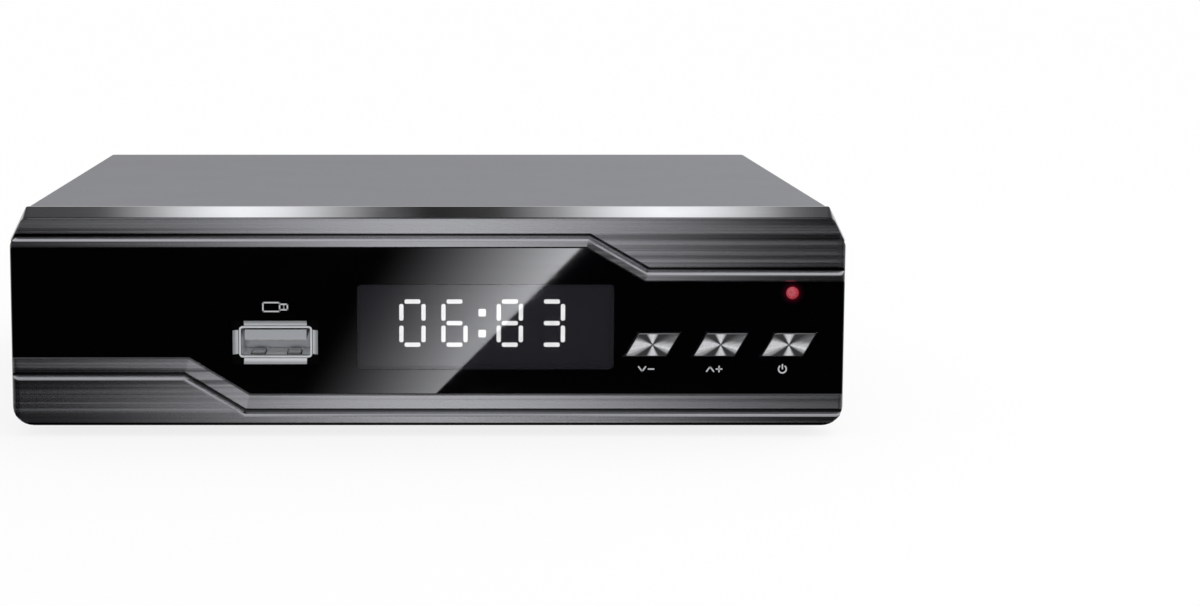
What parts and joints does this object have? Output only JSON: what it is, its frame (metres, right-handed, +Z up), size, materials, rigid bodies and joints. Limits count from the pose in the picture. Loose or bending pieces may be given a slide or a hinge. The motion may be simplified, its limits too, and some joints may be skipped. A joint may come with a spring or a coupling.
{
  "type": "terrestrial television receiver",
  "caption": "Low steel-cased television receiver with a stepped brushed front, glossy window with clock display, leaning push keys, storage socket and rear aerial, picture and sound sockets.",
  "frame": {"origin": "on the table under the middle of the whole receiver, sockets included", "axes": "+X to the right seen from the front, -Y out of the front panel, +Z up"},
  "size_m": [0.15, 0.1172, 0.0415],
  "materials": {
    "black_plastic": "fine moulded texture",
    "brushed_trim": "horizontal brushing, dark at both ends",
    "bright_strip": "polished bevel",
    "window_gloss": "high gloss acrylic",
    "display_smoke": "smoked acrylic",
    "lamp_red": "tinted lens",
    "key_metal": "spun bright finish",
    "switch_black": "moulded",
    "switch_steel": "stamped",
    "tinned_metal": "tin plate",
    "board_green": "solder resist with tracks",
    "screw_steel": "zinc plated",
    "display_face": "dark epoxy face",
    "lit_white": "lit diffuser",
    "dark_strokes": "unlit diffuser",
    "receiver_resin": "infrared-clear resin",
    "link_nylon": "moulded nylon",
    "socket_steel": "nickel-plated sheet",
    "tongue_grey": "moulded",
    "contact_gold": "gold flash",
    "cover_paint": "satin grey paint",
    "base_steel": "dark grey paint",
    "foot_rubber": "soft black rubber",
    "chip_resin": "epoxy package",
    "pad_silicone": "soft pad",
    "sink_aluminium": "black anodised",
    "ferrite": "ceramic",
    "can_sleeve": "shrunk sleeve",
    "can_top": "plain",
    "socket_nickel": "turned nickel plate",
    "core_cream": "moulded insulator",
    "collar_yellow": "moulded",
    "collar_white": "moulded",
    "collar_red": "moulded"
  },
  "bodies": {
    "case": {"front_bezel": "black_plastic", "upper_trim": "brushed_trim", "lower_trim": "brushed_trim", "bright_strip": "bright_strip", "front_window": "window_gloss", "display_filter": "display_smoke", "lamp_lens": "lamp_red", "switch_housings": "switch_steel", "switch_terminals": "tinned_metal", "control_board": "board_green", "control_board_screws": "screw_steel", "display_module": "display_face", "lit_strokes": "lit_white", "dark_strokes": "dark_strokes", "status_lamp": "lamp_red", "remote_receiver": "receiver_resin", "board_link": "link_nylon", "storage_shell": "socket_steel", "storage_tongue": "tongue_grey", "storage_contacts": "contact_gold", "top_cover": "cover_paint", "base_pan": "base_steel", "rear_panel": "base_steel", "rubber_feet": "foot_rubber", "cover_screws": "screw_steel", "panel_screws": "screw_steel", "bezel_screws": "screw_steel", "board_pillars": "tinned_metal", "board_screws": "screw_steel", "main_board": "board_green", "processor": "chip_resin", "thermal_pad": "pad_silicone", "heat_sink": "sink_aluminium", "memory_chip": "chip_resin", "flash_chip": "chip_resin", "crystal": "tinned_metal", "regulators": "chip_resin", "inductors": "ferrite", "capacitors": "can_sleeve", "capacitor_tops": "can_top", "small_chips": "ferrite", "tuner_shield": "tinned_metal", "aerial_socket": "socket_nickel", "aerial_core": "core_cream", "loop_sleeve": "socket_nickel", "loop_core": "core_cream", "picture_shell": "socket_steel", "picture_tongue": "chip_resin", "phono_block": "black_plastic", "video_collar": "collar_yellow", "left_collar": "collar_white", "right_collar": "collar_red", "phono_rings": "socket_nickel", "power_inlet": "black_plastic"},
    "channel_down": {"channel_down_key": "key_metal", "channel_down_plunger": "switch_black"},
    "channel_up": {"channel_up_key": "key_metal", "channel_up_plunger": "switch_black"},
    "standby": {"standby_key": "key_metal", "standby_plunger": "switch_black"}
  },
  "joints": [
    {"name": "channel_down_press", "type": "slide", "parent": "case", "child": "channel_down", "axis": [0, 1, 0], "range_m": [0, 0.0005], "stiffness_N_per_m": 600},
    {"name": "channel_up_press", "type": "slide", "parent": "case", "child": "channel_up", "axis": [0, 1, 0], "range_m": [0, 0.0005], "stiffness_N_per_m": 600},
    {"name": "standby_press", "type": "slide", "parent": "case", "child": "standby", "axis": [0, 1, 0], "range_m": [0, 0.0005], "stiffness_N_per_m": 600}
  ]
}
